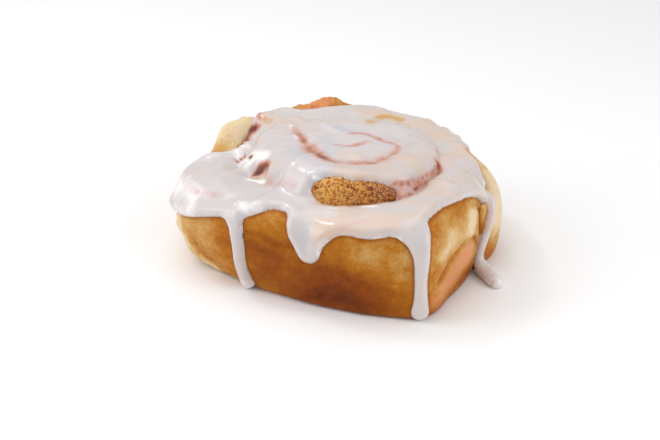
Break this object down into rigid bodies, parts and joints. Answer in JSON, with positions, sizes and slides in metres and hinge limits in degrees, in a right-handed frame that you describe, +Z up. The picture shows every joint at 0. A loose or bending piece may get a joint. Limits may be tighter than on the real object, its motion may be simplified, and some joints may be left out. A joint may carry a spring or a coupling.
{
  "type": "cinnamon roll",
  "caption": "Baked cinnamon roll: a spiral of soft dough with cinnamon filling between its coils and white icing that runs down its sides.",
  "frame": {"origin": "bottom centre of the roll's box, on the surface it stands on", "axes": "+Z up; -Y is the front, with the bare cinnamon band and the long drips; +X is the side with the strip's tail"},
  "size_m": [0.1024, 0.0968, 0.0376],
  "materials": {
    "baked_dough": null,
    "cinnamon": null,
    "sugar_icing": null
  },
  "bodies": {
    "root": {"dough": "baked_dough", "filling": "cinnamon", "icing": "sugar_icing"}
  },
  "joints": []
}
